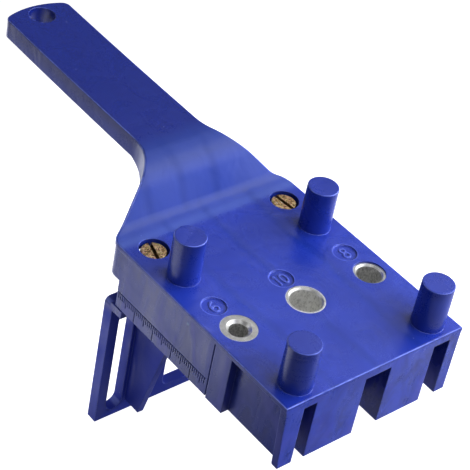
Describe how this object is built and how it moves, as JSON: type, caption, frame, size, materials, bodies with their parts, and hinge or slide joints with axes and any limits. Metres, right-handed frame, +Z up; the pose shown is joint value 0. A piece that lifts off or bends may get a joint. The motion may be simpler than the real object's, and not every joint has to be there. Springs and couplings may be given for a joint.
{
  "type": "doweling jig",
  "caption": "Hand-held doweling jig with a flat handle, steel guide bushes, upright centring pins and a slotted L-shaped fence held by screws.",
  "frame": {"origin": "middle of the footprint, on the surface that the jig rests on", "axes": "+X across the guide plate, +Y from the front blocks towards the handle, +Z up; the guide plate is tilted about X by 32.2 degrees, as the jig rests on its front blocks and the foot of its fence"},
  "size_m": [0.0714, 0.159, 0.136],
  "materials": {
    "moulding": "moulded, semi-gloss",
    "steel": "turned and sawn ends",
    "zinc": "yellow passivated zinc"
  },
  "bodies": {
    "jig": {"jig_body": "moulding", "bush_6mm": "steel", "bush_8mm": "steel", "bush_10mm": "steel"},
    "fence_body": {"fence": "moulding"},
    "screw_l": {"screw_left": "zinc"},
    "screw_r": {"screw_right": "zinc"},
    "nut_l": {"nut_left": "zinc"},
    "nut_r": {"nut_right": "zinc"}
  },
  "joints": [
    {"name": "fence_slide", "type": "slide", "parent": "jig", "child": "fence_body", "axis": [0, 0.8459, 0.5334], "range_m": [0, 0.009]},
    {"name": "screw_left_turn", "type": "hinge", "parent": "jig", "child": "screw_l", "pos_m": [-0.0268, -0.0074, 0.058], "axis": [0, -0.5334, 0.8459], "range_deg": [0, 720]},
    {"name": "screw_right_turn", "type": "hinge", "parent": "jig", "child": "screw_r", "pos_m": [0.0268, -0.0074, 0.058], "axis": [0, -0.5334, 0.8459], "range_deg": [0, 720]},
    {"name": "nut_left_travel", "type": "slide", "parent": "jig", "child": "nut_l", "axis": [0, 0.5334, -0.8459], "range_m": [0, 0.0016]},
    {"name": "nut_right_travel", "type": "slide", "parent": "jig", "child": "nut_r", "axis": [0, 0.5334, -0.8459], "range_m": [0, 0.0016]}
  ],
  "couplings": [
    {"joint": "screw_left_turn", "follows": "nut_left_travel", "rad_per_m": 7854},
    {"joint": "screw_right_turn", "follows": "nut_right_travel", "rad_per_m": 7854}
  ]
}
